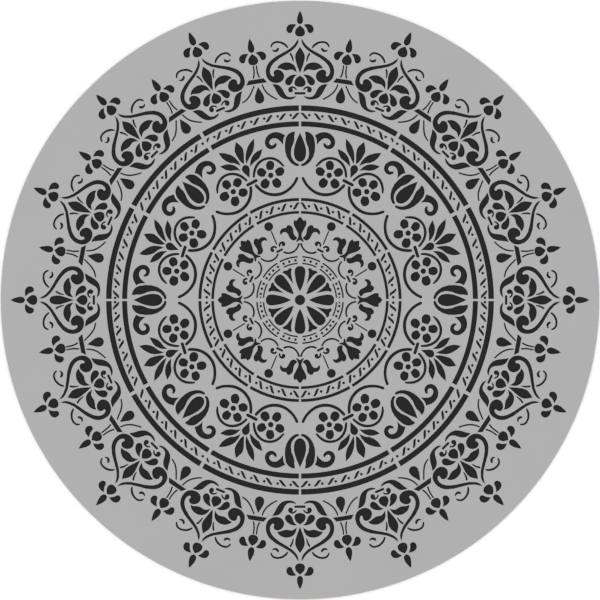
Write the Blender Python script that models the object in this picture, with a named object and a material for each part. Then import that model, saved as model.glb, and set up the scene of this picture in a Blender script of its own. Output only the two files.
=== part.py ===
"""Round ornamental stencil: one thin, rigid plastic sheet with openings cut through it.

The sheet lies flat with its underside on z = 0 and its centre on the Z axis. +Y is the top of the
ornament. The ornament repeats four times, mirrored left to right and top to bottom, and most of its
motifs repeat at every 22.5 or 45 degrees. One drop alone, in the motif at the left, has a blunt end.

Each motif is drawn in its own frame, in millimetres: u is the way sideways, clockwise, from the motif's
axis, and v is the distance from the sheet's centre. A motif's angle is clockwise from +Y. An outline is
a list of (u, v) points with a smooth curve through them. SHARP as a third item marks a sharp corner.

This solid has the larger openings, which give the sheet its shape, with outlines of straight edges. The
smaller leaves and petals, the hairlines and the rows of dots between them are left out of it.
"""
import bpy
from math import acos, atan2, ceil, cos, degrees, hypot, pi, radians, sin

MM = 0.001

# Driving dimensions, in millimetres
DIAMETER = 600.0
THICKNESS = 1.0
TALLER = 0.002          # the ornament is this much taller, and as much narrower, than round

# Rings of long slots: inner and outer radius, and each bridge's angle and width
OUTER_BRIDGES = [(0, 2.6), (30.85, 3.8), (60.95, 3.8), (90, 2.6)]
INNER_BRIDGES = [(0, 2.4), (30.75, 3.6), (60.9, 3.6), (90, 2.4)]
OUTER_RINGS = [(189.15, 194.35), (173.55, 178.4)]
INNER_RINGS = [(99.0, 101.75), (86.4, 88.85)]

# Angles of the motifs in a quarter of the sheet, in degrees
EIGHTHS = (0, 45, 90)
BORDER_ANGLES = (0, 22.63, 44.94, 67.32)
FLOWER_ANGLES = (22.6, 67.6)

# Round dots
CENTRE_DOT = 4.95
DOT = 4.25
DOT_PLACES = [(31.4, 73.3), (72.3, 33.7)]

# How finely the outlines are faceted
TURN_STEP = 15.0        # degrees that a curve turns in one short edge
LONG_EDGE = 9.0
FACET = 1.0             # a point that bends an outline by less than this is dropped
RIM_EDGES = 96
CENTRE_DOT_EDGES = 16
DOT_EDGES = 8
OUTER_RING_STEP = 7.5   # degrees
INNER_RING_STEP = 10.0

SHEET_GREY = 0.434      # linear
SHEET_ROUGHNESS = 0.55

SHARP = "sharp"


# Curves -----------------------------------------------------------------------------------------

def slope(before, point, after):
    """Direction of a smooth curve at a point, from its neighbours and their distances."""
    d0 = hypot(point[0] - before[0], point[1] - before[1])
    d1 = hypot(after[0] - point[0], after[1] - point[1])
    return [((c - b) / d1 * d0 + (b - a) / d0 * d1) / (d0 + d1) for a, b, c in zip(before, point, after)]


def angle_between(a, b):
    """Angle in degrees between two directions in the plane."""
    cosine = (a[0] * b[0] + a[1] * b[1]) / (hypot(a[0], a[1]) * hypot(b[0], b[1]))
    return degrees(acos(max(-1.0, min(1.0, cosine))))


def span(start, end, start_slope, end_slope):
    """Points of one span of a smooth curve, without its end point. A slope of None is a free end."""
    length = hypot(end[0] - start[0], end[1] - start[1])
    chord = [b - a for a, b in zip(start, end)]
    leave = start_slope and [s * length for s in start_slope]
    arrive = end_slope and [s * length for s in end_slope]
    if not leave and not arrive:
        leave = arrive = chord
    elif not leave:
        leave = [1.5 * c - 0.5 * a for c, a in zip(chord, arrive)]
    elif not arrive:
        arrive = [1.5 * c - 0.5 * a for c, a in zip(chord, leave)]
    turn = angle_between(leave, chord) + angle_between(arrive, chord)
    edges = max(1, ceil(turn / TURN_STEP), ceil(length / LONG_EDGE))
    points = []
    for k in range(edges):
        t = k / edges
        weights = (2*t**3 - 3*t**2 + 1, t**3 - 2*t**2 + t, 3*t**2 - 2*t**3, t**3 - t**2)
        terms = zip(start, leave, end, arrive)
        points.append([sum(w * x for w, x in zip(weights, term)) for term in terms])
    return points


def smooth(outline):
    """Closed smooth curve through the outline's points, sharp at the marked ones."""
    count = len(outline)
    places = [point[:2] for point in outline]
    slopes = []
    for i, point in enumerate(outline):
        free = point[-1] is SHARP
        slopes.append(None if free else slope(places[i - 1], places[i], places[(i + 1) % count]))
    curve = []
    for i in range(count):
        j = (i + 1) % count
        curve += span(places[i], places[j], slopes[i], slopes[j])
    return curve


def stroke(line, widths):
    """Outline of a band along a smooth open line, with its width at each of the line's points."""
    points = [(u, v, width) for (u, v), width in zip(line, widths)]
    slopes = [None] + [slope(*points[i - 1:i + 2]) for i in range(1, len(points) - 1)] + [None]
    curve = []
    for i in range(len(points) - 1):
        curve += span(points[i], points[i + 1], slopes[i], slopes[i + 1])
    curve.append(points[-1])
    left, right = [], []
    for i, (u, v, width) in enumerate(curve):
        before, after = curve[max(0, i - 1)], curve[min(len(curve) - 1, i + 1)]
        along = atan2(after[1] - before[1], after[0] - before[0])
        du, dv = -sin(along) * width / 2, cos(along) * width / 2
        left.append((u + du, v + dv))
        right.append((u - du, v - dv))
    return left + right[::-1]


def drop_flat_points(chain):
    """The chain without points that bend it by less than FACET, and without its last point."""
    (u0, v0), (u1, v1) = chain[0][:2], chain[-1][:2]
    length = hypot(u1 - u0, v1 - v0)
    offsets = [abs((p[0] - u0) * (v1 - v0) - (p[1] - v0) * (u1 - u0)) / length for p in chain]
    widest = max(range(len(chain)), key=offsets.__getitem__)
    if len(chain) < 3 or offsets[widest] < FACET:
        return [chain[0]]
    return drop_flat_points(chain[:widest + 1]) + drop_flat_points(chain[widest:])


def facets(outline):
    """The closed outline with only the points that shape it."""
    u0, v0 = outline[0][:2]
    far = max(range(len(outline)), key=lambda i: hypot(outline[i][0] - u0, outline[i][1] - v0))
    return drop_flat_points(outline[:far + 1]) + drop_flat_points(outline[far:] + outline[:1])


def disc(u, v, radius, edges):
    return [(u + radius * cos(2*pi*k/edges), v + radius * sin(2*pi*k/edges)) for k in range(edges)]


def mirrored(outline):
    return [(-point[0], *point[1:]) for point in outline]


def symmetric(half):
    """Whole outline from its right half, which starts and ends on the axis."""
    return half + mirrored(half[1:-1])[::-1]


# Motifs -----------------------------------------------------------------------------------------

def rosette_petal():
    return smooth(symmetric([(0, 9.3, SHARP), (2.8, 15.2), (4.4, 21.0), (5.0, 26.5), (4.2, 31.6),
                             (0, 33.7)]))


def rosette_wedge():
    """The small opening between two petals of the rosette."""
    return smooth(symmetric([(0, 17.6, SHARP), (1.8, 26.5), (4.8, 32.0, SHARP), (2.6, 32.9),
                             (0, 31.6, SHARP)]))


def small_tulip():
    """A cup between two leaning petals."""
    cup = smooth(symmetric([(0, 83.2, SHARP), (3.5, 79.0, SHARP), (5.3, 80.1, SHARP), (6.3, 77.8),
                            (4.4, 72.0), (1.4, 66.0), (1.5, 62.0), (4.1, 58.3, SHARP), (0, 60.2)]))
    petal = smooth([(3.3, 61.6, SHARP), (6.6, 59.8), (9.8, 61.9), (12.0, 66.6), (15.0, 68.3),
                    (19.3, 65.5, SHARP), (19.6, 69.8), (15.8, 72.2), (13.8, 71.9, SHARP), (11.0, 75.3),
                    (8.0, 73.0), (6.9, 67.4)])
    return [cup, petal, mirrored(petal)]


def large_tulip():
    """A drop between two petals, with a scroll on each side."""
    drop = smooth(symmetric([(0, 166.7, SHARP), (3.3, 159.0), (5.8, 150.6), (5.4, 143.2), (0, 138.4)]))
    petal = smooth([(4.8, 168.0, SHARP), (10.0, 166.2), (14.2, 160.1), (15.2, 151.0), (12.5, 141.8),
                    (8.0, 136.2), (1.2, 134.4, SHARP), (7.3, 140.4), (9.4, 146.8), (8.4, 153.8),
                    (5.4, 162.0)])
    scroll = smooth([(15.1, 164.3, SHARP), (19.6, 166.7), (24.7, 167.5), (29.9, 165.9), (33.7, 162.3),
                     (35.2, 157.6), (33.4, 152.4), (28.5, 150.4), (25.1, 152.1), (24.2, 157.0, SHARP),
                     (28.0, 154.0), (31.0, 157.2), (27.9, 161.4), (21.1, 160.6), (17.1, 155.0, SHARP)])
    return [drop, petal, mirrored(petal), scroll, mirrored(scroll)]


def tulip_garland():
    """The long stroke that runs from the foot of a large tulip to the flowers beside it."""
    line = [(3.0, 121.6), (5.4, 116.5), (10.4, 111.0), (17.5, 106.6), (25.0, 105.1), (32.5, 106.2),
            (39.2, 109.6), (44.1, 114.6)]
    garland = stroke(line, [1.9, 2.2, 2.4, 2.5, 2.5, 2.5, 2.4, 2.0])
    return [garland, mirrored(garland)]


def flower_leaves():
    """Three long leaves that fan out above a pair of flowers, and the stroke over each flower."""
    middle = smooth([(-1.1, 170.0, SHARP), (-4.9, 161.6), (-2.2, 152.2), (0, 147.2, SHARP), (3.3, 156.4),
                     (3.6, 161.6)])
    left = smooth([(-18.8, 166.3, SHARP), (-10.8, 161.9), (-5.8, 155.0), (-2.4, 146.1, SHARP),
                   (-10.0, 152.2), (-15.4, 157.9)])
    right = smooth([(18.8, 166.6, SHARP), (9.1, 160.5), (5.0, 154.0), (3.7, 146.6, SHARP), (11.1, 152.7),
                    (16.6, 158.9)])
    line = [(4.1, 131.0), (7.3, 136.6), (12.7, 141.5), (20.5, 143.7), (27.5, 141.7), (32.7, 136.9),
            (36.0, 130.1)]
    over = stroke(line, [1.6, 2.2, 2.3, 2.3, 2.3, 2.1, 1.6])
    return [middle, left, right, over, mirrored(over)]


POINTED_DROP = [(0, 252.6, SHARP), (4.2, 245.6), (4.4, 241.2), (1.8, 232.7), (0, 227.4, SHARP)]
BLUNT_DROP = [(0, 251.0), (3.6, 248.0), (4.4, 241.2), (1.8, 232.7), (0, 227.4, SHARP)]


def border_motif(drop):
    """The given drop with a large leaf on each side that ends in a round bulb."""
    leaf = smooth([(2.0, 261.0, SHARP), (4.0, 254.6), (9.7, 248.0), (18.6, 242.3), (26.1, 237.2),
                   (29.8, 231.3), (29.2, 225.7), (25.9, 223.1, SHARP), (25.5, 227.6), (21.4, 229.7),
                   (16.7, 227.6), (15.5, 222.5), (18.1, 218.2), (22.6, 216.4), (29.0, 218.8),
                   (33.4, 224.4), (33.9, 231.6), (29.4, 238.7), (21.9, 243.5), (13.5, 248.0), (6.5, 253.8)])
    return [smooth(symmetric(drop)), leaf, mirrored(leaf)]


# Ornament ---------------------------------------------------------------------------------------

def ring_slots(inner, outer, bridges, step):
    """The slots of one quarter of a ring, between its bridges."""
    slots = []
    middle = (inner + outer) / 2
    for (first, first_width), (last, last_width) in zip(bridges, bridges[1:]):
        start = first + degrees(first_width / 2 / middle)
        end = last - degrees(last_width / 2 / middle)
        edges = ceil((end - start) / step)
        angles = [radians(start + (end - start) * k / edges) for k in range(edges + 1)]
        slots.append([(outer * sin(a), outer * cos(a)) for a in angles]
                     + [(inner * sin(a), inner * cos(a)) for a in reversed(angles)])
    return slots


def placed(outline, angle, hand):
    """A motif's outline turned to its angle on the sheet; hand is -1 for its mirror image."""
    c, s = cos(radians(angle)), sin(radians(angle))
    return [((hand*u*c + v*s) * (1 - TALLER), (v*c - hand*u*s) * (1 + TALLER)) for u, v in outline]


def repeats(angle):
    """The angle and hand of each copy of a motif: left and right, top and bottom."""
    copies = [(angle, 1), (angle + 180, 1)]
    if angle % 90:
        copies += [(-angle, -1), (180 - angle, -1)]
    return copies


def ornament():
    """Every opening's outline, in millimetres in the sheet's frame."""
    openings = [disc(0, 0, CENTRE_DOT, CENTRE_DOT_EDGES)]

    def add(outlines, angle):
        for copy_angle, hand in repeats(angle):
            openings.extend(placed(facets(outline), copy_angle, hand) for outline in outlines)

    for k in range(8):
        openings.append(placed(facets(rosette_petal()), 45*k, 1))
        openings.append(placed(facets(rosette_wedge()), 45*k + 22.5, 1))
    for angle in EIGHTHS:
        add(small_tulip() + large_tulip() + tulip_garland(), angle)
    for angle in FLOWER_ANGLES:
        add(flower_leaves(), angle)
    for angle in BORDER_ANGLES:
        add(border_motif(POINTED_DROP), angle)
    for angle, drop in ((90, POINTED_DROP), (270, BLUNT_DROP)):
        openings.extend(placed(facets(outline), angle, 1) for outline in border_motif(drop))

    quarter = [disc(u, v, DOT, DOT_EDGES) for u, v in DOT_PLACES]
    for inner, outer in OUTER_RINGS:
        quarter += ring_slots(inner, outer, OUTER_BRIDGES, OUTER_RING_STEP)
    for inner, outer in INNER_RINGS:
        quarter += ring_slots(inner, outer, INNER_BRIDGES, INNER_RING_STEP)
    for angle, hand in ((0, 1), (180, 1), (0, -1), (180, -1)):
        openings.extend(placed(outline, angle, hand) for outline in quarter)
    return openings


# The sheet --------------------------------------------------------------------------------------

def sheet_material():
    material = bpy.data.materials.new("grey_plastic")
    material.use_nodes = True
    shader = material.node_tree.nodes["Principled BSDF"]
    shader.inputs["Base Color"].default_value = (SHEET_GREY, SHEET_GREY, SHEET_GREY, 1.0)
    shader.inputs["Roughness"].default_value = SHEET_ROUGHNESS
    shader.inputs["Metallic"].default_value = 0.0
    return material


def stencil_sheet():
    """A filled flat curve, whose inner outlines are the openings, extruded to the thickness."""
    curve = bpy.data.curves.new("stencil_sheet", "CURVE")
    curve.dimensions = "2D"
    curve.fill_mode = "BOTH"
    curve.extrude = THICKNESS / 2 * MM
    for outline in [disc(0, 0, DIAMETER / 2, RIM_EDGES)] + ornament():
        spline = curve.splines.new("POLY")
        spline.points.add(len(outline) - 1)
        for point, (x, y) in zip(spline.points, outline):
            point.co = (x * MM, y * MM, 0.0, 1.0)
        spline.use_cyclic_u = True
    curve.materials.append(sheet_material())
    sheet = bpy.data.objects.new("stencil_sheet", curve)
    sheet.location.z = THICKNESS / 2 * MM
    bpy.context.scene.collection.objects.link(sheet)
    return sheet


for old in list(bpy.data.objects):
    bpy.data.objects.remove(old)
stencil_sheet()
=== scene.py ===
"""Looks of a round ornamental stencil: a thin sheet of grey plastic, cut through by its whole ornament.

The sheet lies flat on a dark card, seen from straight above. Its mesh stands for the CAD solid, which
has the larger openings only, and keeps that solid's diameter and thickness.

The ornament is the same in all four quarters, mirrored left to right and top to bottom, apart from one
drop at the left that has a blunt end. Within a quarter, the copies of a motif differ a little, as on the
real sheet: the tables below say where each of them stands, and how it leans.

Each motif is drawn in its own frame, in millimetres: u is the way sideways, clockwise, from the motif's
axis, and v is the distance from the sheet's centre. A motif's angle is clockwise from +Y. An outline is
a list of (u, v) points with a smooth curve through them. SHARP as a third item marks a sharp corner.
"""
from math import acos, atan2, ceil, cos, degrees, hypot, pi, radians, sin

import bpy
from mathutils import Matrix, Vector
from mathutils.geometry import delaunay_2d_cdt


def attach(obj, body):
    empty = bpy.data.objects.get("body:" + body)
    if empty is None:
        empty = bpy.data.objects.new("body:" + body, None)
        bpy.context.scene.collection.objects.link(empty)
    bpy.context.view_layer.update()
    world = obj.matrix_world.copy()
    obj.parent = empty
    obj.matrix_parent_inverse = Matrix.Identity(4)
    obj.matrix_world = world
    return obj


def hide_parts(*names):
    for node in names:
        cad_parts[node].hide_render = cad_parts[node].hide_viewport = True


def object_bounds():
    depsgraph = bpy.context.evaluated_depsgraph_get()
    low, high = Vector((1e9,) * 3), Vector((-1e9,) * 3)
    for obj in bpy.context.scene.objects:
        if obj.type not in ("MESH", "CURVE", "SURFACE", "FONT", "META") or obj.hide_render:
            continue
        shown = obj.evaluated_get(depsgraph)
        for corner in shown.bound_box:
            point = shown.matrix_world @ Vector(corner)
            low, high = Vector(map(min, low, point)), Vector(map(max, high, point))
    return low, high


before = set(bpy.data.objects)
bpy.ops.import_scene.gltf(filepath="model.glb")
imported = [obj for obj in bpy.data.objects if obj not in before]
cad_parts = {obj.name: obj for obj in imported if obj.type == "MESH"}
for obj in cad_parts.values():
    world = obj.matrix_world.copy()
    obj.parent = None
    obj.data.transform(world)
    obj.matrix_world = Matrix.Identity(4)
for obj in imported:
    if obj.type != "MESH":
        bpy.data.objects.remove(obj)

CAD_LOW, CAD_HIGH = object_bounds()
MM = 0.001

# The sheet, in millimetres
RADIUS = (CAD_HIGH[0] - CAD_LOW[0]) / 2 / MM
TOP = (CAD_HIGH[2] - CAD_LOW[2]) / MM
KERF = 0.20             # every cut takes away this much beyond its drawn outline
EDGE_BREAK = 0.12       # the top edge of every cut is broken by this much
ACROSS, UPRIGHT = 0.9989, 1.0029    # the ornament's width and height over those of its drawn radii

# How finely the outlines are drawn
TURN_STEP = 17.0        # degrees that a curve turns in one edge
STROKE_TURN_STEP = 9.0  # the same along a stroke
LONG_EDGE = 9.0
RIM_EDGES = 360
CAP_EDGES = 5           # edges of a stroke's round end
LARGE_DOT_EDGES = 28
DOT_EDGES = 20
BEAD_EDGES = 12
TINY_DOT_EDGES = 10
RING_STEP = 2.0         # degrees
FINE_RING_STEP = 4.0

# How the mesh is made from the outlines
MITRE_LIMIT = 2.5       # a corner moves by at most this many times the distance that its edges move
TOUCHING = 1e-6         # outlines nearer to each other than this would be joined
SHARP_ANGLE = 35.0      # an edge between two faces looks sharp from this many degrees on

# Rings of long slots: each bridge's angle and width in a quarter, then each ring's radii and its bridges
OUTER_BRIDGES = [(0, 2.6), (30.85, 3.8), (60.95, 3.8), (90, 2.6)]
MIDDLE_BRIDGES = [(0, 2.5), (30.65, 3.3), (60.85, 3.3), (90, 2.5)]
INNER_BRIDGES = [(0, 2.4), (30.85, 3.9), (60.9, 3.9), (90, 2.4)]
RINGS = [(189.25, 194.45, OUTER_BRIDGES, RING_STEP), (173.65, 178.4, OUTER_BRIDGES, RING_STEP),
         (99.2, 101.85, MIDDLE_BRIDGES, FINE_RING_STEP), (86.5, 88.85, INNER_BRIDGES, FINE_RING_STEP)]

# Dots, and the thin lines that stand alone
CENTRE_DOT = 4.95
LARGE_DOT = 4.25
LARGE_DOTS_AT = 79.8    # from the centre
LARGE_DOT_ANGLES = (23.2, 65.0)
FLOWER_DOT = 2.55
THIN_LINES = [[(28.7, 68.4), (23.5, 55.9)], [(67.1, 30.5), (55.9, 23.7)]]
THIN_LINE = 0.9         # their width

# The ring round the rosette, in a quarter: its slots' radius, width, start and end, and its dots
THIN_SLOTS = [(43.25, 1.15, 3.4, 27.5), (43.25, 1.15, 32.0, 58.5), (43.25, 1.15, 63.5, 87.0),
              (36.65, 1.0, 4.0, 26.2), (36.65, 1.0, 33.0, 58.2), (36.65, 1.0, 64.0, 86.3)]
RING_DOT = 1.1
RING_DOTS_AT = 39.85
RING_DOT_ANGLES = (6.5, 15.7, 24.5, 33.8, 42.4, 50.0, 57.0, 66.1, 73.5, 81.2)
TINY_DOT = 0.7
TINY_DOT_PLACE = (86.2, 39.6)   # angle and distance from the centre

# The rope bands, in a quarter: strokes with a bead after each
OUTER_STROKES = 22
OUTER_STROKE_STEP = 4.15        # degrees
OUTER_BEAD = 1.17
OUTER_BEADS_END = 89.32         # the last bead's angle, which keeps it apart from its mirror image
OUTER_STROKE_CUT_SHORT = 7      # it stands at the first bridge
OUTER_STROKE_WITHOUT_BEAD = 14  # its bead would stand at the second bridge
INNER_STROKES = 12
INNER_STROKE_STEP = 7.54
INNER_BEAD = 1.2
INNER_STROKES_CUT_SHORT = (4, 8)        # at the bridges

# How far some strokes, and their beads, stand off their even places: degrees on, and outwards
OUTER_ROPE_SHIFTS = {1: (-0.08, 0), 6: (0, -0.25), 7: (0.07, -0.35), 9: (-0.05, -0.15), 10: (0.1, -0.3),
                     11: (-0.05, 0), 14: (0, 0.3), 15: (0.05, 0.1), 18: (0, 0.35), 19: (-0.1, 0.1),
                     21: (-0.35, 0)}
INNER_ROPE_SHIFTS = {0: (0.1, 0.25), 1: (0.15, -0.05), 2: (0.15, 0), 3: (-0.15, -0.1), 4: (0, -0.2),
                     5: (0, 0.2), 6: (0, -0.35), 7: (0.1, -0.35), 8: (0.2, 0), 9: (-0.1, 0),
                     10: (0, -0.3), 11: (0, -0.25)}

# Where each motif stands in a quarter: its angle, how far it is moved outwards, and its lean in degrees.
# Right and left name the half of a motif that a piece belongs to.
ROSETTE_PETALS = [(0, 0, 0), (45.8, -0.3, -1.5), (90, 0.4, 0)]
ROSETTE_WEDGES = [(23.5, 0.35, 0.8), (66.5, 0.3, -1.5)]
SCROLLS = [(23.1, 0.25, 2.8), (66.95, 0, -2.9)]
SMALL_TULIPS = [(0, -0.2, 0), (45.4, 0.3, -1.6)]
SIDE_TULIPS = [(90, -0.8, 0)]
SIDE_TULIPS_APART = 0.75        # how much further apart their petals stand
TOP_GARLANDS = [(0, 0, 0)]
SMALL_RIGHT_GARLANDS = [(45.6, -0.1, 0.5), (90, -0.4, 0)]
SMALL_LEFT_GARLANDS = [(44.95, 0.2, 0.9), (90, -0.4, 0)]
FLOWERS = [(22.53, 0.2, 0), (67.63, -0.2, -0.35)]
LARGE_DROPS = [(0, 0, 0), (44.93, -0.1, 0.1), (90, -0.05, 0)]
LARGE_RIGHT_PETALS = [(0, 0, 0), (45.03, -0.7, 0.5), (89.9, 0.15, 0)]
LARGE_LEFT_PETALS = [(0, 0, 0), (45.04, 0.2, -0.3)]
LARGE_RIGHT_SCROLLS = [(0, 0.2, 0), (45, -0.2, 0.3), (89.95, 0.1, 0)]
LARGE_LEFT_SCROLLS = [(0, 0.2, 0), (45, 0.4, -0.5)]
GARLANDS = [(0, 0.15, 0), (44.8, -0.2, 0.6), (90, -0.2, 0)]
TOP_MOTIFS = [(0, 0.2, 0)]
SIDE_MOTIF_OUT = 0.3
SLANTING_MOTIFS = [(22.63, 0, -0.4), (44.94, -0.15, -0.4), (67.32, 0, -0.7)]

# How the border motifs differ: their spread in degrees, the relative size of their top drop, the shift of
# their column, and the shifts of some pieces of their right and left halves, aside and outwards
TOP_HALF = {"hairline": (0.55, 0.2), "wing": (0.3, -0.15), "curl": (0.25, -0.1), "foot": (0.35, -0.2),
            "leaf": (0.1, -0.15), "hook": (-0.25, 0)}
TOP_SHAPE = (1.05, 0.93, (0, -0.2), TOP_HALF, TOP_HALF)
SIDE_HALF = {"hairline": (-0.6, -1.3), "petal": (0.1, 0), "curl": (-0.15, 0.1), "brow": (0.4, -0.1),
             "hook": (0.25, -0.1)}
SIDE_SHAPE = (0.0, 1.0, (0, 0), SIDE_HALF, SIDE_HALF)
SLANTING_SHAPE = (0.0, 1.0, (0.15, -0.05),
                  {"hairline": (0.35, 0.35), "petal": (-0.2, 0), "leaf": (-0.1, 0), "brow": (-0.2, 0.1),
                   "hook": (-0.4, 0.15)},
                  {"hairline": (-0.5, 0.1), "petal": (0.15, 0), "brow": (0.27, 0), "hook": (0.1, 0)})

# Each pendant's angle, and how far its trefoil, stems, bar, left curve, right curve and drop stand aside,
# outwards, and leaning
PENDANTS = {
    11.25: [(-0.8, -0.55, -2.0), (-0.85, 0, -3.8), (0.35, -0.35, -2.2), (0.45, -1.2, 0), (0.4, 0.1, -0.9),
            (0.3, -0.35, -3.7)],
    33.75: [(0.9, -0.15, 0.7), (-0.05, 0.2, 0), (0.3, -0.15, 0.7), (0.3, -0.15, 0.7), (0.5, -0.45, 0),
            (-0.1, -0.15, -0.7)],
    56.25: [(-0.1, 0.6, 0.4), (-1.0, 0.9, -0.8), (-0.5, 0.55, 0), (-0.25, 0.65, 0), (-0.5, 0.35, 0),
            (-0.9, 0.55, 0)],
    78.75: [(-0.7, 0.4, 0.8), (-1.7, 1.0, 0), (-1.3, 0.4, 0.8), (-1.6, -0.2, 1.9), (-0.55, 1.3, -1.2),
            (-1.8, 0.4, -0.7)]}

SPREAD_FROM = 250.0     # the distance from the centre at which spreading halves stay in place
TREFOIL_DROP = -23.5    # how much further in a pendant's trefoil stands than a border motif's
NOT_MOVED = (0, 0)

# Materials and surroundings, in metres
SHEET_GREY = 0.377
CUT_GREY = 0.36
EDGE_HIGHLIGHT_GREY = 0.50        # painted highlight: the broken edges are paler than the faces, as if they caught the light
CARD_GREY = 0.0195
TABLE_GREYS = (0.92, 0.94)
CARD_RADIUS = 0.296
CARD_EDGES = 180
CARD_TOP = -0.0001      # just under the sheet
CARD_THICKNESS = 0.0004
TABLE_TOP = -0.00055    # just under the card
TABLE_SIZE = 8.0
VIEW_HEIGHT = 3.0
VIEW_MARGIN = 1.0025    # half the view's width over the sheet's radius
VIEW_END = 50.0
SENSOR = 36.0           # millimetres
WORLD_LIGHT = 1.0
SOFTBOX_LIGHT = 0.35
SOFTBOX_ANGLE = 50.0    # degrees that the lamp spans, seen from the sheet
SOFTBOX_TILT = (-18.0, -14.0)   # degrees from straight down, about X and Y
NOISE_RANGE = (0.3, 0.7)        # where most of a noise texture's values lie

SHARP = "sharp"


# Curves -----------------------------------------------------------------------------------------

def slope(before, point, after):
    """Direction of a smooth curve at a point, from its neighbours and their distances."""
    d0 = hypot(point[0] - before[0], point[1] - before[1])
    d1 = hypot(after[0] - point[0], after[1] - point[1])
    return [((c - b) / d1 * d0 + (b - a) / d0 * d1) / (d0 + d1) for a, b, c in zip(before, point, after)]


def angle_between(a, b):
    """Angle in degrees between two directions in the plane."""
    cosine = (a[0] * b[0] + a[1] * b[1]) / (hypot(a[0], a[1]) * hypot(b[0], b[1]))
    return degrees(acos(max(-1.0, min(1.0, cosine))))


def span(start, end, start_slope, end_slope, turn_step=TURN_STEP):
    """Points of one span of a smooth curve, without its end point. A slope of None is a free end."""
    length = hypot(end[0] - start[0], end[1] - start[1])
    chord = [b - a for a, b in zip(start, end)]
    leave = start_slope and [s * length for s in start_slope]
    arrive = end_slope and [s * length for s in end_slope]
    if not leave and not arrive:
        leave = arrive = chord
    elif not leave:
        leave = [1.5 * c - 0.5 * a for c, a in zip(chord, arrive)]
    elif not arrive:
        arrive = [1.5 * c - 0.5 * a for c, a in zip(chord, leave)]
    turn = angle_between(leave, chord) + angle_between(arrive, chord)
    edges = max(1, ceil(turn / turn_step), ceil(length / LONG_EDGE))
    points = []
    for k in range(edges):
        t = k / edges
        weights = (2*t**3 - 3*t**2 + 1, t**3 - 2*t**2 + t, 3*t**2 - 2*t**3, t**3 - t**2)
        terms = zip(start, leave, end, arrive)
        points.append([sum(w * x for w, x in zip(weights, term)) for term in terms])
    return points


def smooth(outline):
    """Closed smooth curve through the outline's points, sharp at the marked ones."""
    count = len(outline)
    places = [point[:2] for point in outline]
    slopes = []
    for i, point in enumerate(outline):
        free = point[-1] is SHARP
        slopes.append(None if free else slope(places[i - 1], places[i], places[(i + 1) % count]))
    curve = []
    for i in range(count):
        j = (i + 1) % count
        curve += span(places[i], places[j], slopes[i], slopes[j])
    return curve


def stroke(line, widths):
    """Outline of a round-ended band along a smooth open line, with its width at each of its points."""
    points = [(u, v, width) for (u, v), width in zip(line, widths)]
    slopes = [None] + [slope(*points[i - 1:i + 2]) for i in range(1, len(points) - 1)] + [None]
    curve = []
    for i in range(len(points) - 1):
        curve += span(points[i], points[i + 1], slopes[i], slopes[i + 1], STROKE_TURN_STEP)
    curve.append(points[-1])
    left, right = [], []
    for i, (u, v, width) in enumerate(curve):
        before, after = curve[max(0, i - 1)], curve[min(len(curve) - 1, i + 1)]
        along = atan2(after[1] - before[1], after[0] - before[0])
        du, dv = -sin(along) * width / 2, cos(along) * width / 2
        left.append((u + du, v + dv))
        right.append((u - du, v - dv))
    return left + round_end(curve[-1], curve[-2]) + right[::-1] + round_end(curve[0], curve[1])


def round_end(end, inner):
    """Points of the half circle that closes a stroke, between its two corners."""
    u, v, width = end
    away = atan2(v - inner[1], u - inner[0])
    turns = [away + pi/2 - pi * k / CAP_EDGES for k in range(1, CAP_EDGES)]
    return [(u + cos(turn) * width / 2, v + sin(turn) * width / 2) for turn in turns]


def disc(u, v, radius, edges=DOT_EDGES):
    return [(u + radius * cos(2*pi*k/edges), v + radius * sin(2*pi*k/edges)) for k in range(edges)]


def polar(angle, radius):
    """The point at an angle clockwise from +Y, and a distance from the centre."""
    return radius * sin(radians(angle)), radius * cos(radians(angle))


def arc_slot(inner, outer, start, end, step):
    """A slot between two radii, from one angle to another."""
    edges = ceil((end - start) / step)
    angles = [start + (end - start) * k / edges for k in range(edges + 1)]
    return [polar(a, outer) for a in angles] + [polar(a, inner) for a in reversed(angles)]


def mirrored(outline):
    return [(-point[0], *point[1:]) for point in outline]


def with_mirrored(outlines):
    return outlines + [mirrored(outline) for outline in outlines]


def symmetric(half):
    """Whole outline from its right half, which starts and ends on the axis."""
    return half + mirrored(half[1:-1])[::-1]


def moved(outlines, aside, out):
    return [[(point[0] + aside, point[1] + out) for point in outline] for outline in outlines]


def standing(outlines, out, lean):
    """The outlines moved outwards, and leaning clockwise about their middle by so many degrees."""
    heights = [point[1] for outline in outlines for point in outline]
    middle = (min(heights) + max(heights)) / 2
    c, s = cos(radians(lean)), sin(radians(lean))
    return [[(u*c + (v - middle)*s, (v - middle)*c - u*s + middle + out) for u, v, *_ in outline]
            for outline in outlines]


# Border -----------------------------------------------------------------------------------------

def trefoil(top_size=1.0):
    """A small drop over a larger one, with a round leaf on each side. The small drop's size is relative."""
    drop = [(0, 13.9, SHARP), (1.5, 11.0), (2.8, 6.9), (3.1, 4.1), (2.0, 1.0), (0, 0)]
    top = smooth(symmetric([(u * top_size, 275.9 + v * top_size, *mark) for u, v, *mark in drop]))
    middle = smooth(symmetric([(0, 274.3, SHARP), (2.5, 272.2), (4.3, 269.8), (4.8, 267.3), (3.9, 264.9),
                               (2.0, 263.8), (0, 263.5)]))
    side = smooth([(4.0, 275.2, SHARP), (7.8, 275.7), (11.3, 274.8), (13.4, 271.9), (13.2, 269.2),
                   (11.5, 267.2), (9.4, 267.1), (8.1, 268.3), (7.3, 270.8), (6.2, 272.6)])
    return [top, middle] + with_mirrored([side])


def spread_out(half, spread):
    """One half of the border motif, leaning so many degrees outwards at its foot. Its axis stays."""
    slant = radians(spread)
    return [(u + (SPREAD_FROM - v) * slant, v + u * slant, *mark) if u else (u, v, *mark)
            for u, v, *mark in half]


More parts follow.
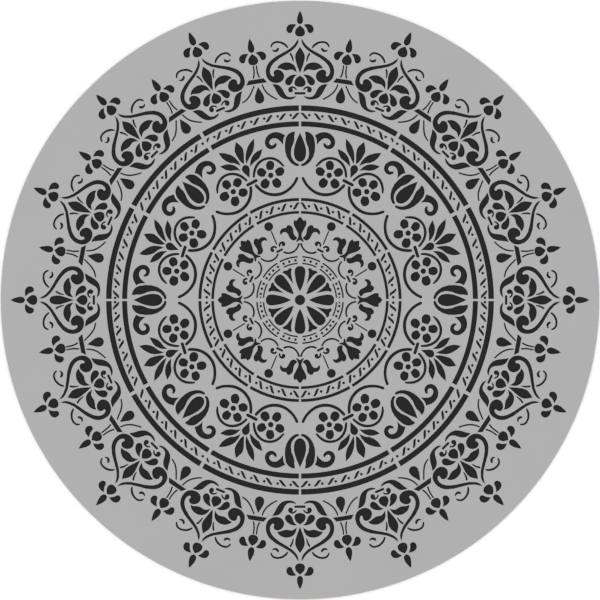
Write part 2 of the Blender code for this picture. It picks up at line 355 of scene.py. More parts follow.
# Right halves of the large drop at the top of a border motif's column
POINTED_DROP = [(0, 252.7, SHARP), (2.5, 249.0), (4.3, 245.3), (4.5, 242.6), (4.1, 239.8), (2.7, 235.0),
                (0, 227.2, SHARP)]
BLUNT_DROP = [(0, 251.0), (2.2, 250.2), (3.7, 247.9), (4.3, 244.6), (4.3, 241.6), (3.8, 238.8),
              (2.5, 234.8), (0, 227.2, SHARP)]


def border_motif(drop, spread, top_size, column_shift, right, left):
    """The large motif of the border: a column of drops between two halves of leaves and scrolls.

    The column of drops stands aside and outwards by its shift. Right and left name the pieces of each
    half that stand further from the axis, and further outwards, by so much.
    """
    lower_drop = [(0, 224.2, SHARP), (2.5, 222.0), (4.3, 219.4), (4.8, 217.2), (4.4, 215.1), (2.7, 213.8),
                  (0, 213.1)]
    bar = [(0, 207.6, SHARP), (4.5, 207.6, SHARP), (4.5, 205.6, SHARP), (0, 205.6, SHARP)]
    half = {
        "hairline": stroke([(8.9, 245.5), (7.7, 243.6), (6.7, 241.2), (6.0, 238.2)], [1.5, 1.5, 1.2, 0.6]),
        "wing": smooth([(2.7, 227.5, SHARP), (3.7, 231.4), (5.7, 234.6), (8.7, 236.4), (13.3, 237.1),
                        (18.0, 235.8), (21.0, 233.3), (22.2, 231.2, SHARP), (19.6, 231.3), (16.2, 230.1),
                        (13.0, 229.5), (7.7, 230.4), (4.8, 229.2)]),
        "petal": smooth([(3.1, 224.9, SHARP), (6.5, 224.7), (10.2, 223.2), (13.1, 220.6), (14.3, 217.8),
                         (13.2, 215.2), (10.8, 214.3), (8.7, 215.4), (7.0, 218.3), (6.3, 221.0),
                         (5.0, 222.9)]),
        "curl": smooth([(2.5, 209.9), (3.4, 211.8), (6.6, 213.2), (9.4, 212.4), (10.7, 210.1), (9.9, 207.9),
                        (8.2, 207.3), (6.6, 208.4), (6.4, 210.2), (7.2, 211.2, SHARP), (5.8, 211.7),
                        (4.2, 211.0), (3.3, 210.0)]),
        "foot": smooth([(2.8, 203.6, SHARP), (5.5, 202.9), (8.6, 202.5), (11.8, 203.3), (14.0, 205.6),
                        (17.2, 211.3), (20.6, 214.3), (26.6, 215.1, SHARP), (24.5, 212.2), (21.5, 206.8),
                        (18.0, 202.7), (14.3, 200.9), (9.8, 200.4), (5.4, 201.3)]),
        "leaf": smooth([(1.8, 261.2, SHARP), (1.9, 258.0), (4.0, 253.5), (8.0, 249.4), (13.4, 245.7),
                        (20.0, 241.6), (25.0, 237.6), (28.6, 233.0), (29.9, 228.4), (29.1, 225.0),
                        (26.3, 222.8), (25.2, 223.6), (25.7, 226.6), (24.8, 228.7), (22.0, 229.7),
                        (18.0, 228.1), (15.6, 224.5), (16.1, 220.6), (18.8, 217.7), (22.2, 216.7),
                        (27.5, 217.4), (31.6, 220.5), (33.6, 226.1), (32.9, 232.8), (29.7, 237.9),
                        (24.3, 242.5), (16.6, 246.9), (10.2, 250.7), (5.8, 254.7), (3.0, 258.8)]),
        "brow": stroke([(12.6, 252.0), (14.3, 254.1), (16.7, 255.8), (19.8, 257.0), (23.0, 257.25),
                        (26.0, 256.6), (28.0, 254.9), (29.0, 252.6)],
                       [1.2, 1.7, 1.8, 1.7, 1.6, 1.6, 1.5, 1.1]),
        "hook": stroke([(22.3, 250.5), (23.0, 249.3), (24.6, 248.3), (26.2, 248.3), (27.6, 249.0)],
                       [1.7, 2.1, 1.9, 1.4, 0.7])}
    column = [smooth(symmetric(spread_out(piece, spread))) for piece in (drop, lower_drop, bar)]
    outlines = moved(trefoil(top_size) + column, *column_shift)
    for name, piece in half.items():
        stood = spread_out(piece, spread)
        outlines += moved([stood], *right.get(name, NOT_MOVED))
        outlines.append(mirrored(moved([stood], *left.get(name, NOT_MOVED))[0]))
    return outlines


def pendant(places):
    """Between two border motifs: a trefoil on two thin stems over a tapered bar, two curves and a drop.

    Each of these six is moved aside, outwards, and leans, as its place says.
    """
    stems = [stroke([(side*1.5, 238.2), (side*1.5, 234.0), (side*2.0, 229.5), (side*2.9, 226.6)],
                    [1.0, 1.1, 1.2, 1.2]) for side in (-1, 1)]
    bar = [(-10.3, 220.9), (10.3, 220.9), (7.4, 225.0), (-7.4, 225.0)]
    curve_widths = [1.0, 1.2, 1.2, 1.0]
    left_curve = stroke([(-5.2, 219.4), (-7.2, 212.5), (-11.4, 207.1), (-16.8, 202.6)], curve_widths)
    right_curve = stroke([(3.3, 218.4), (7.7, 211.8), (12.5, 206.7), (17.5, 204.2)], curve_widths)
    drop = smooth(symmetric([(0, 217.1, SHARP), (2.3, 212.6), (4.6, 205.4), (3.3, 202.3), (0, 200.9)]))
    pieces = [moved(trefoil(), 0, TREFOIL_DROP), stems, [bar], [left_curve], [right_curve], [drop]]
    outlines = []
    for outline, (aside, out, lean) in zip(pieces, places):
        outlines += moved(standing(outline, out, lean), aside, 0)
    return outlines


# Bands ------------------------------------------------------------------------------------------

def ring_slots(inner, outer, bridges, step):
    """The slots of one quarter of a ring, between its bridges."""
    slots = []
    middle = (inner + outer) / 2
    for (first, first_width), (last, last_width) in zip(bridges, bridges[1:]):
        start = first + degrees(first_width / 2 / middle)
        end = last - degrees(last_width / 2 / middle)
        slots.append(arc_slot(inner, outer, start, end, step))
    return slots


def outer_rope():
    """One quarter of the outer band: slanting strokes with a bead after each."""
    outlines = []
    for k in range(OUTER_STROKES):
        turn, shift = OUTER_ROPE_SHIFTS.get(k, NOT_MOVED)
        angle = OUTER_STROKE_STEP * k + turn
        rise = 0.25 - 0.1 * k + 0.0062 * k * k + shift      # the band isn't quite round
        line = [(angle + 0.4, 186.55), (angle + 0.8, 185.9), (angle + 1.35, 184.15), (angle + 1.75, 182.65),
                (angle + 2.12, 181.7), (angle + 2.44, 181.3)]
        widths = [0.9, 1.7, 2.1, 2.1, 1.7, 0.9]
        if k == OUTER_STROKE_CUT_SHORT:
            line, widths = line[:3], [0.9, 1.7, 1.0]
        outlines.append(stroke([polar(a, radius + rise) for a, radius in line], widths))
        if k != OUTER_STROKE_WITHOUT_BEAD:
            bead = polar(min(2.9 + angle, OUTER_BEADS_END), 184.7 + rise)
            outlines.append(disc(*bead, OUTER_BEAD, BEAD_EDGES))
    return outlines


def inner_rope():
    """One quarter of the inner band, as the outer one but with longer strokes."""
    outlines = []
    for k in range(INNER_STROKES):
        turn, rise = INNER_ROPE_SHIFTS.get(k, NOT_MOVED)
        angle = 0.65 + INNER_STROKE_STEP * k + turn
        line = [(angle, 96.95), (angle + 0.56, 96.35), (angle + 1.39, 94.75), (angle + 1.94, 93.2),
                (angle + 2.54, 91.65), (angle + 3.4, 90.9)]
        widths = [0.9, 1.7, 2.05, 2.1, 1.9, 1.0]
        if k in INNER_STROKES_CUT_SHORT:
            line, widths = line[1:], widths[1:]
        outlines.append(stroke([polar(a, radius + rise) for a, radius in line], widths))
        outlines.append(disc(*polar(4.75 + angle, 93.9 + rise), INNER_BEAD, BEAD_EDGES))
    return outlines


# Middle zone ------------------------------------------------------------------------------------

def large_tulip():
    """The drop in a large tulip's middle, its right petal, and the scroll to the right of it."""
    drop = smooth(symmetric([(0, 166.8, SHARP), (1.4, 163.8), (3.1, 160.0), (4.8, 155.2), (5.9, 150.0),
                             (6.0, 146.6), (5.4, 143.2), (3.7, 140.1), (0, 138.3)]))
    petal = smooth([(5.2, 168.2, SHARP), (7.4, 168.0), (10.4, 166.6), (12.8, 164.2), (14.3, 160.8),
                    (15.05, 154.6), (14.7, 148.6), (13.2, 143.4), (10.4, 138.8), (7.6, 136.1), (4.8, 134.6),
                    (2.4, 134.1), (1.2, 134.6), (1.4, 135.7), (3.2, 136.4), (6.2, 138.8), (8.3, 141.9),
                    (9.3, 147.4), (8.6, 152.4), (6.9, 156.4), (5.75, 160.6), (5.95, 163.6)])
    scroll = smooth([(15.1, 164.3, SHARP), (19.6, 166.65), (24.7, 167.5), (29.9, 166.0), (33.7, 162.3),
                     (35.15, 157.6), (34.3, 153.9), (31.8, 151.4), (28.6, 150.7), (25.2, 152.1),
                     (23.6, 155.0), (24.2, 157.0, SHARP), (26.0, 155.1), (28.0, 154.1), (30.1, 155.0),
                     (31.05, 157.2), (30.2, 159.6), (27.9, 161.2), (24.9, 161.65), (21.6, 160.2),
                     (19.0, 157.9), (17.1, 155.3, SHARP), (17.1, 158.6), (16.6, 161.6)])
    return drop, petal, scroll


def tulip_garland():
    """The long stroke that runs from the foot of a large tulip to the flowers beside it."""
    line = [(3.0, 121.5), (5.8, 116.2), (10.6, 110.9), (17.6, 106.5), (25.1, 105.05), (32.6, 106.1),
            (39.2, 109.5), (44.1, 114.2)]
    return with_mirrored([stroke(line, [2.4, 2.4, 2.5, 2.7, 2.8, 2.7, 2.6, 2.5])])


def flower_leaves():
    """Leaves that fan out above a pair of flowers, with a small drop at their foot."""
    middle = smooth([(-1.1, 170.0, SHARP), (-2.9, 166.8), (-4.4, 163.6), (-4.75, 160.5), (-3.7, 156.4),
                     (-2.0, 152.0), (-0.1, 147.0, SHARP), (1.6, 149.6), (2.7, 153.2), (3.4, 157.4),
                     (3.6, 161.4), (1.8, 165.8)])
    left = smooth([(-18.8, 166.1, SHARP), (-14.6, 164.2), (-10.8, 161.7), (-6.9, 157.2), (-4.0, 151.7),
                   (-2.4, 146.2, SHARP), (-5.4, 148.9), (-8.2, 151.3), (-11.6, 153.9), (-14.1, 156.2),
                   (-16.9, 160.7)])
    right = smooth([(18.9, 166.6, SHARP), (14.0, 164.3), (9.4, 160.8), (5.9, 156.3), (4.2, 151.2),
                    (3.8, 146.7, SHARP), (6.7, 150.1), (9.0, 151.8), (12.2, 153.4), (15.1, 156.4),
                    (18.0, 161.5)])
    lower_left = smooth([(-22.7, 153.6, SHARP), (-17.2, 153.3), (-12.6, 151.7), (-8.7, 148.6),
                         (-6.4, 145.3), (-5.1, 142.3, SHARP), (-8.2, 143.9), (-11.0, 145.1),
                         (-16.8, 146.8), (-20.1, 150.1)])
    lower_right = smooth([(22.6, 153.7, SHARP), (16.9, 153.2), (11.8, 151.1), (8.0, 147.2),
                          (5.7, 142.2, SHARP), (9.3, 144.4), (14.8, 145.9), (18.6, 148.3)])
    foot = smooth([(0.2, 145.5), (2.6, 144.4), (3.9, 141.8), (3.1, 138.6), (1.6, 135.6),
                   (0.1, 132.2, SHARP), (-1.5, 136.1), (-3.0, 139.2), (-3.5, 141.8), (-2.4, 144.4)])
    return [middle, left, right, lower_left, lower_right, foot]


def flower_pair():
    """Two flowers, each a dot with five round petals, under two arched strokes, and a bar between them."""
    left = [[(-24.5, 130.8, SHARP), (-22.4, 131.5), (-20.0, 132.2, SHARP), (-19.7, 135.4), (-21.0, 138.4),
             (-24.0, 140.1), (-27.0, 138.8), (-28.15, 136.2), (-27.1, 133.5)],
            [(-14.6, 127.6, SHARP), (-16.0, 129.3), (-17.9, 130.6, SHARP), (-17.0, 133.8), (-15.2, 136.1),
             (-12.9, 136.9), (-10.3, 135.8), (-8.85, 133.0), (-9.9, 130.0), (-12.3, 128.1)],
            [(-15.0, 125.2, SHARP), (-12.0, 124.95), (-9.2, 123.7), (-7.5, 120.7), (-8.1, 118.2),
             (-10.0, 116.3), (-12.6, 116.0), (-15.1, 117.5), (-17.1, 120.9, SHARP), (-15.8, 123.1)],
            [(-24.6, 121.8, SHARP), (-22.4, 121.0), (-20.0, 120.6, SHARP), (-19.05, 117.4), (-19.6, 114.6),
             (-21.0, 112.7), (-23.4, 111.85), (-25.9, 112.8), (-27.5, 115.6), (-27.0, 118.7)],
            [(-26.3, 128.6, SHARP), (-26.25, 126.0), (-26.1, 123.6, SHARP), (-28.3, 122.5), (-30.8, 122.0),
             (-33.3, 123.1), (-35.1, 126.2), (-34.0, 129.1), (-31.3, 130.2), (-28.4, 129.6)]]
    right = [[(14.8, 127.8, SHARP), (16.2, 129.5), (18.0, 131.3, SHARP), (16.9, 133.8), (14.9, 136.0),
              (12.5, 136.55), (9.7, 135.3), (8.55, 132.6), (9.7, 129.9), (11.9, 128.3)],
             [(20.2, 131.3, SHARP), (22.3, 130.6), (24.7, 129.5, SHARP), (26.8, 131.6), (28.1, 134.4),
              (27.6, 137.0), (25.9, 138.7), (23.7, 139.1), (21.2, 137.9), (19.95, 134.8)],
             [(26.2, 127.7, SHARP), (25.95, 125.0), (25.7, 122.3, SHARP), (28.2, 120.6), (30.8, 120.0),
              (33.4, 120.8), (35.15, 123.8), (34.4, 126.8), (32.5, 128.3), (29.8, 128.7)],
             [(23.2, 120.9, SHARP), (20.9, 120.2), (18.4, 119.7, SHARP), (18.0, 116.6), (18.7, 113.8),
              (20.4, 111.9), (22.6, 111.1), (25.0, 111.9), (26.75, 115.0), (25.8, 118.4)],
             [(14.2, 124.9, SHARP), (15.2, 122.9), (16.6, 121.0, SHARP), (15.2, 118.5), (13.2, 117.0),
              (10.6, 116.8), (8.0, 118.3), (7.0, 120.8), (8.2, 123.6), (11.0, 124.95)]]
    petals = [smooth(petal) for petal in left + right]
    dots = [disc(-20.6, 126.15, FLOWER_DOT), disc(20.35, 125.45, FLOWER_DOT)]
    over_left = stroke([(-36.1, 129.9), (-34.7, 133.4), (-32.4, 137.6), (-27.8, 141.6), (-20.8, 143.5),
                        (-13.4, 141.8), (-8.0, 137.4), (-4.4, 131.4)],
                       [1.3, 2.0, 2.2, 2.25, 2.2, 2.3, 2.2, 1.8])
    over_right = stroke([(3.9, 130.7), (6.6, 135.8), (12.0, 141.0), (20.2, 143.45), (27.2, 141.7),
                         (31.8, 137.7), (34.2, 134.0), (35.6, 130.5)],
                        [1.7, 2.2, 2.3, 2.2, 2.3, 2.2, 2.1, 1.2])
    bar = stroke([(-5.0, 126.95), (4.4, 126.15)], [2.9, 2.7])
    return petals + dots + [over_left, over_right, bar]


# Inner zone -------------------------------------------------------------------------------------

def small_tulip(apart=0.0):
    """A cup between two leaning petals, which stand further apart by so much."""
    cup = [(0, 83.3, SHARP), (1.9, 81.5), (3.5, 79.0, SHARP), (5.4, 80.0, SHARP), (6.3, 77.8), (5.7, 74.6),
           (3.9, 71.0), (2.1, 67.9), (1.4, 65.2), (1.8, 62.4), (2.6, 60.8), (3.9, 58.5, SHARP), (2.2, 59.0),
           (1.2, 59.8), (0, 60.4)]
    petal = smooth([(3.1, 61.7, SHARP), (4.6, 60.5), (6.6, 59.9), (8.5, 60.6), (10.1, 62.3), (11.3, 64.9),
                    (12.7, 67.1), (15.2, 68.4), (17.3, 67.8), (19.2, 65.4, SHARP), (20.0, 67.6),
                    (19.4, 69.8), (17.8, 71.3), (15.8, 72.05), (13.9, 71.9, SHARP), (12.8, 74.2),
                    (11.1, 75.0), (9.4, 74.2), (7.7, 72.6), (6.95, 69.6), (6.4, 66.4), (5.0, 64.0),
                    (3.4, 62.8)])
    cup = [(u + 0.6 * apart, v, *mark) if u else (u, v, *mark) for u, v, *mark in cup]
    return [smooth(symmetric(cup))] + with_mirrored(moved([petal], apart, 0))


def small_garland():
    """The thin stroke that curves to the right from the foot of a small tulip."""
    line = [(1.75, 56.4), (2.3, 53.8), (3.4, 51.4), (5.3, 49.2), (9.1, 47.1), (12.8, 46.6), (16.4, 47.4)]
    return stroke(line, [1.2, 1.3, 1.4, 1.5, 1.5, 1.4, 1.3])


def top_garland():
    """The small garland under the top and bottom tulips, whose two strokes meet in a thin link."""
    half = [(0, 56.2), (1.2, 56.8), (1.9, 56.2), (2.4, 54.2), (3.4, 52.2), (5.2, 50.1), (8.2, 48.3),
            (12.4, 47.5), (15.9, 48.4), (16.8, 47.9), (15.8, 46.9), (12.6, 46.1), (9.0, 46.4), (5.3, 48.2),
            (2.9, 50.5), (1.2, 53.4), (0.6, 55.3), (0, 55.6)]
    return [smooth(symmetric(half))]


def scrolls():
    """Two small scrolls and a short bar between two small tulips."""
    bar = stroke([(-3.1, 53.15), (2.3, 53.1)], [1.85, 1.85])
    upper = smooth([(-2.2, 56.5), (-1.65, 57.1), (-2.4, 58.9), (-4.1, 60.25), (-6.5, 60.35), (-8.2, 58.9),
                    (-8.3, 56.7), (-6.8, 55.4), (-5.3, 56.0), (-5.1, 57.2), (-5.8, 58.3, SHARP),
                    (-4.6, 58.75), (-3.4, 57.8)])
    lower = smooth([(1.3, 56.5), (2.0, 57.0), (3.1, 58.1), (4.3, 58.5), (5.4, 57.9, SHARP), (4.4, 57.2),
                    (4.5, 55.8), (5.9, 54.8), (7.3, 55.9), (7.5, 57.7), (6.4, 59.5), (4.2, 60.2),
                    (2.4, 59.6), (1.0, 58.1)])
    return [bar, upper, lower]


def rosette_petal():
    """One of the eight petals round the centre."""
    return smooth(symmetric([(0, 9.2, SHARP), (1.1, 11.2), (2.7, 15.0), (4.0, 19.4), (4.9, 24.4),
                             (5.25, 28.0), (5.0, 30.3), (4.0, 32.2), (2.3, 33.3), (0, 33.7)]))


def rosette_wedge():
    """The narrow opening between two petals of the rosette."""
    return smooth(symmetric([(0, 17.5, SHARP), (0.8, 22.0), (2.1, 27.2), (3.2, 29.4), (5.0, 31.7, SHARP),
                             (3.9, 32.4), (2.6, 32.6), (1.4, 32.3), (0, 31.7, SHARP)]))


def dotted_ring():
    """One quarter of the ring round the rosette: two broken thin circles with small dots between them."""
    outlines = [arc_slot(radius - width/2, radius + width/2, start, end, FINE_RING_STEP)
                for radius, width, start, end in THIN_SLOTS]
    for angle in RING_DOT_ANGLES:
        outlines.append(disc(*polar(angle, RING_DOTS_AT), RING_DOT, BEAD_EDGES))
    outlines.append(disc(*polar(*TINY_DOT_PLACE), TINY_DOT, TINY_DOT_EDGES))
    return outlines


# Ornament ---------------------------------------------------------------------------------------

def placed(outline, angle, hand):
    """A motif's outline turned to its angle on the sheet; hand is -1 for its mirror image."""
    c, s = cos(radians(angle)), sin(radians(angle))
    return [((hand*u*c + v*s) * ACROSS, (v*c - hand*u*s) * UPRIGHT) for u, v in outline]


def repeats(angle):
    """The angle and hand of each copy of a motif: left and right, top and bottom."""
    copies = [(angle, 1), (angle + 180, 1)]
    if angle % 90:
        copies += [(-angle, -1), (180 - angle, -1)]
    return copies


def quarter_openings():
    """What is drawn once for a whole quarter of the sheet: the bands, the dots and the thin lines."""
    outlines = outer_rope() + inner_rope() + dotted_ring()
    for inner, outer, bridges, step in RINGS:
        outlines += ring_slots(inner, outer, bridges, step)
    for angle in LARGE_DOT_ANGLES:
        outlines.append(disc(*polar(angle, LARGE_DOTS_AT), LARGE_DOT, LARGE_DOT_EDGES))
    for line in THIN_LINES:
        outlines.append(stroke(line, [THIN_LINE, THIN_LINE]))
    return outlines


def ornament():
    """Every opening's outline, in millimetres in the sheet's frame."""
    openings = [disc(0, 0, CENTRE_DOT, LARGE_DOT_EDGES)]

    def add(outlines, places):
        for angle, out, lean in places:
            stood = standing(outlines, out, lean)
            for copy_angle, hand in repeats(angle):
                openings.extend(placed(outline, copy_angle, hand) for outline in stood)

    add([rosette_petal()], ROSETTE_PETALS)
    add([rosette_wedge()], ROSETTE_WEDGES)
    add(scrolls(), SCROLLS)
    add(small_tulip(), SMALL_TULIPS)
    add(small_tulip(SIDE_TULIPS_APART), SIDE_TULIPS)
    add(top_garland(), TOP_GARLANDS)
    add([small_garland()], SMALL_RIGHT_GARLANDS)
    add([mirrored(small_garland())], SMALL_LEFT_GARLANDS)
    add(flower_leaves() + flower_pair(), FLOWERS)
    tulip_drop, petal, scroll = large_tulip()
    add([tulip_drop], LARGE_DROPS)
    add([petal], LARGE_RIGHT_PETALS)
    add([mirrored(petal)], LARGE_LEFT_PETALS)
    add([scroll], LARGE_RIGHT_SCROLLS)
    add([mirrored(scroll)], LARGE_LEFT_SCROLLS)
    add(tulip_garland(), GARLANDS)
    add(border_motif(POINTED_DROP, *TOP_SHAPE), TOP_MOTIFS)
    add(border_motif(POINTED_DROP, *SLANTING_SHAPE), SLANTING_MOTIFS)
    for angle, drop in ((90, POINTED_DROP), (270, BLUNT_DROP)):
        side_motif = standing(border_motif(drop, *SIDE_SHAPE), SIDE_MOTIF_OUT, 0)
        openings.extend(placed(outline, angle, 1) for outline in side_motif)
    for angle, pieces in PENDANTS.items():
        add(pendant(pieces), [(angle, 0, 0)])
    for angle, hand in ((0, 1), (180, 1), (0, -1), (180, -1)):
        openings.extend(placed(outline, angle, hand) for outline in quarter_openings())
    return openings


# Mesh -------------------------------------------------------------------------------------------

def turned(outline, clockwise):
    """The outline in the given direction."""
    following = outline[1:] + outline[:1]
    area = sum(x0 * y1 - x1 * y0 for (x0, y0), (x1, y1) in zip(outline, following))
    return outline if (area < 0) == clockwise else outline[::-1]


def widened(outline, distance):
    """The outline moved to its left, into the sheet's material, by a small distance."""
    result = []
    for before, point, after in zip(outline[-1:] + outline[:-1], outline, outline[1:] + outline[:1]):
        arrive = (Vector(point) - Vector(before)).normalized()
        leave = (Vector(after) - Vector(point)).normalized()
        bisector = Vector((-arrive.y - leave.y, arrive.x + leave.x))
        reach = min(MITRE_LIMIT, 2.0 / max(bisector.length, 1e-6))
        offset = bisector.normalized() * distance * reach
        result.append((point[0] + offset.x, point[1] + offset.y))
    return result


def ring_edges(loops):
    """The edges of closed loops whose points are numbered one after another."""
    edges = []
    first = 0
    for loop in loops:
        count = len(loop)
        edges += [(first + k, first + (k + 1) % count) for k in range(count)]
        first += count
    return edges


def triangles_inside(loops):
    """Triangles of the flat area to the left of every loop's edges."""
    points = [point for loop in loops for point in loop]
    edges = ring_edges(loops)
    corners = [Vector(point) for point in points]
    found, _, faces, sources, _, _ = delaunay_2d_cdt(corners, edges, [], 1, TOUCHING)
    if len(found) != len(points):
        raise ValueError("two outlines cross or touch")
    faces = [[sources[vertex][0] for vertex in face] for face in faces]
    face_left_of = {edge: i for i, face in enumerate(faces) for edge in zip(face, face[1:] + face[:1])}
    border = set(edges)
    inside = set()
    waiting = [face_left_of[edge] for edge in edges]
    while waiting:
        i = waiting.pop()
        if i in inside:
            continue
        inside.add(i)
        face = faces[i]
        inner_edges = [edge for edge in zip(face, face[1:] + face[:1]) if edge not in border]
        waiting += [face_left_of[end, start] for start, end in inner_edges]
    return [faces[i] for i in sorted(inside)]


def sheet_mesh():
    """The sheet as a closed mesh: two flat faces, upright cuts, and a broken edge round the top."""
    loops = [turned(disc(0, 0, RADIUS, RIM_EDGES), clockwise=False)]
    for outline in ornament():
        loops.append(widened(turned([tuple(point) for point in outline], clockwise=True), KERF))
    broken = [widened(loop, EDGE_BREAK) for loop in loops]
    flat = [point for loop in loops for point in loop]
    count = len(flat)
    vertices = [(x, y, 0.0) for x, y in flat]
    vertices += [(x, y, TOP - EDGE_BREAK) for x, y in flat]
    vertices += [(x, y, TOP) for loop in broken for x, y in loop]
    faces = [face[::-1] for face in triangles_inside(loops)]
    faces += [[vertex + 2*count for vertex in face] for face in triangles_inside(broken)]
    flat_faces = len(faces)
    for level in (0, count):
        faces += [(a + level, b + level, b + level + count, a + level + count)
                  for a, b in ring_edges(loops)]
    mesh = bpy.data.meshes.new("stencil_sheet_cut")
    mesh.from_pydata([(x * MM, y * MM, z * MM) for x, y, z in vertices], [], faces)
    mesh.materials.append(sheet_material())
    mesh.materials.append(cut_material("cut_plastic", CUT_GREY))
    # the broken edges get a paler grey than the sheet, a painted highlight along the top edge of every cut
    mesh.materials.append(cut_material("broken_edge_highlight", EDGE_HIGHLIGHT_GREY))
    mesh.polygons.foreach_set("material_index", [0] * flat_faces + [1] * count + [2] * count)
    mesh.validate()
    mesh.shade_smooth()
    mesh.set_sharp_from_angle(angle=radians(SHARP_ANGLE))
    return mesh


def stencil_sheet():
    sheet = bpy.data.objects.new("stencil_sheet_cut", sheet_mesh())
    bpy.context.scene.collection.objects.link(sheet)
    return sheet


# Materials --------------------------------------------------------------------------------------

class Nodes:
    """Short names for building a material's nodes."""

    def __init__(self, name):
        self.material = bpy.data.materials.new(name)
        self.material.use_nodes = True
        self.tree = self.material.node_tree
        self.shader = self.tree.nodes["Principled BSDF"]
        self.place = self.add("ShaderNodeTexCoord").outputs["Object"]

    def add(self, kind, **settings):
        node = self.tree.nodes.new(kind)
        for name, value in settings.items():
            setattr(node, name, value)
        return node

    def link(self, output, target):
        self.tree.links.new(output, target)

    def noise(self, scale, detail=2.0, stretch=(1, 1, 1), turn=0.0):
        """Noise of so many cells per metre, stretched along the turned axes."""
        mapping = self.add("ShaderNodeMapping")
        mapping.inputs["Scale"].default_value = stretch
        mapping.inputs["Rotation"].default_value = (0, 0, radians(turn))
        texture = self.add("ShaderNodeTexNoise")
        texture.inputs["Scale"].default_value = scale
        texture.inputs["Detail"].default_value = detail
        self.link(self.place, mapping.inputs["Vector"])
        self.link(mapping.outputs["Vector"], texture.inputs["Vector"])
        return texture.outputs["Fac"]

    def ranged(self, value, low, high, source=NOISE_RANGE):
        """The value, brought from its source range to another one."""
        node = self.add("ShaderNodeMapRange")
        for socket, number in zip(("From Min", "From Max", "To Min", "To Max"), (*source, low, high)):
            node.inputs[socket].default_value = number
        self.link(value, node.inputs["Value"])
        return node.outputs["Result"]

    def maths(self, operation, first, second):
        node = self.add("ShaderNodeMath", operation=operation)
        for socket, value in zip(node.inputs, (first, second)):
            if isinstance(value, (int, float)):
                socket.default_value = value
            else:
                self.link(value, socket)
        return node.outputs["Value"]

    def grey(self, value):
        """A grey colour of that brightness."""
        node = self.add("ShaderNodeCombineColor")
        for socket in node.inputs:
            self.link(value, socket)
        return node.outputs["Color"]

    def bump(self, height, distance, below=None):
        """A normal bumped by the height, times the distance in metres, over the normal below it."""
        node = self.add("ShaderNodeBump")
        node.inputs["Strength"].default_value = 1.0
        node.inputs["Distance"].default_value = distance
        self.link(height, node.inputs["Height"])
        if below:
            self.link(below, node.inputs["Normal"])
        return node.outputs["Normal"]


def sheet_material():
    """Matt grey sheet plastic: even colour, a fine pressed grain and faint rub marks from handling."""
    m = Nodes("sheet_plastic")
    clouds = m.ranged(m.noise(7), -0.006, 0.006)
    specks = m.ranged(m.noise(900, detail=3), -0.010, 0.010)
    rubs = [m.noise(12, 4, stretch=(1, 60, 1), turn=turn) for turn in (25, 110)]
    rub = m.ranged(m.maths("MAXIMUM", *rubs), 0.0, 1.0, source=(0.66, 0.80))
    level = m.maths("ADD", m.maths("ADD", clouds, specks), m.maths("MULTIPLY", rub, 0.012))
    m.link(m.grey(m.maths("ADD", level, SHEET_GREY)), m.shader.inputs["Base Color"])
    rough = m.maths("ADD", m.ranged(m.noise(40, 3), 0.50, 0.60), m.maths("MULTIPLY", rub, -0.12))
    m.link(rough, m.shader.inputs["Roughness"])
    grain = m.bump(m.noise(1600, 4), 0.00004)
    m.link(m.bump(rub, 0.00001, below=grain), m.shader.inputs["Normal"])
    m.shader.inputs["Specular IOR Level"].default_value = 0.4
    return m.material


def cut_material(name, grey):
    """The cut plastic: a little glossier than the faces, with fine upright cutting lines."""
    m = Nodes(name)
    lines = m.noise(1500, 2, stretch=(1, 1, 0.05))
    level = m.maths("ADD", m.ranged(lines, -0.015, 0.015), grey)
    m.link(m.grey(level), m.shader.inputs["Base Color"])
    m.link(m.ranged(m.noise(500), 0.30, 0.42), m.shader.inputs["Roughness"])
    m.link(m.bump(lines, 0.00003), m.shader.inputs["Normal"])
    return m.material


def card_material():
    """Dull, nearly black card."""
    m = Nodes("black_card")
    fibres = m.ranged(m.noise(700, 4, stretch=(1, 0.3, 1)), 0.9 * CARD_GREY, 1.1 * CARD_GREY)
    m.link(m.grey(fibres), m.shader.inputs["Base Color"])
    m.shader.inputs["Roughness"].default_value = 0.95
    m.shader.inputs["Specular IOR Level"].default_value = 0.05
    return m.material


def table_material():
    """Matt white table top."""
    m = Nodes("white_table")
    m.link(m.grey(m.ranged(m.noise(30, 3), *TABLE_GREYS)), m.shader.inputs["Base Color"])
    m.shader.inputs["Roughness"].default_value = 0.8
    m.shader.inputs["Specular IOR Level"].default_value = 0.2
    return m.material


# Surroundings -----------------------------------------------------------------------------------

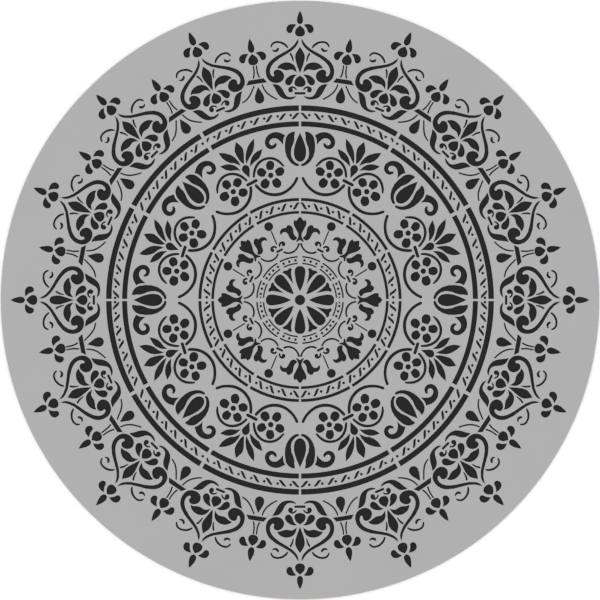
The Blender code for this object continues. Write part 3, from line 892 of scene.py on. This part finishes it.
def flat_object(name, points, z, material):
    """A flat piece of the surroundings, which isn't part of the object."""
    mesh = bpy.data.meshes.new(name)
    mesh.from_pydata([(x, y, z) for x, y in points], [], [range(len(points))])
    mesh.materials.append(material)
    made = bpy.data.objects.new(name, mesh)
    bpy.context.scene.collection.objects.link(made)
    return made


def surroundings():
    """A round dark card under the sheet, on a white table."""
    card = flat_object("dark_card", disc(0, 0, CARD_RADIUS, CARD_EDGES), CARD_TOP, card_material())
    thickness = card.modifiers.new("thickness", "SOLIDIFY")
    thickness.thickness = CARD_THICKNESS
    thickness.offset = -1.0
    half = TABLE_SIZE / 2
    corners = [(-half, -half), (half, -half), (half, half), (-half, half)]
    flat_object("table", corners, TABLE_TOP, table_material())


def lights():
    """Even light from all round, and a broad soft lamp from the upper left."""
    world = bpy.data.worlds.new("studio")
    world.use_nodes = True
    world.node_tree.nodes["Background"].inputs["Color"].default_value = (1, 1, 1, 1)
    world.node_tree.nodes["Background"].inputs["Strength"].default_value = WORLD_LIGHT
    bpy.context.scene.world = world
    lamp = bpy.data.lights.new("softbox", "SUN")
    lamp.energy = SOFTBOX_LIGHT
    lamp.angle = radians(SOFTBOX_ANGLE)
    softbox = bpy.data.objects.new("softbox", lamp)
    softbox.rotation_euler = (radians(SOFTBOX_TILT[0]), radians(SOFTBOX_TILT[1]), 0)
    bpy.context.scene.collection.objects.link(softbox)


def camera():
    """Straight down through a long lens, with the sheet filling the view."""
    data = bpy.data.cameras.new("camera")
    data.sensor_width = SENSOR
    half_view = RADIUS * MM * VIEW_MARGIN
    data.lens = SENSOR / 2 * (VIEW_HEIGHT - TOP * MM) / half_view
    data.clip_end = VIEW_END
    made = bpy.data.objects.new("camera", data)
    made.location = (0, 0, VIEW_HEIGHT)
    bpy.context.scene.collection.objects.link(made)
    bpy.context.scene.camera = made


bpy.context.scene.view_settings.view_transform = "Standard"
sheet = stencil_sheet()
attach(sheet, "root")
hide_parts("stencil_sheet")
surroundings()
lights()
camera()

bpy.context.view_layer.update()
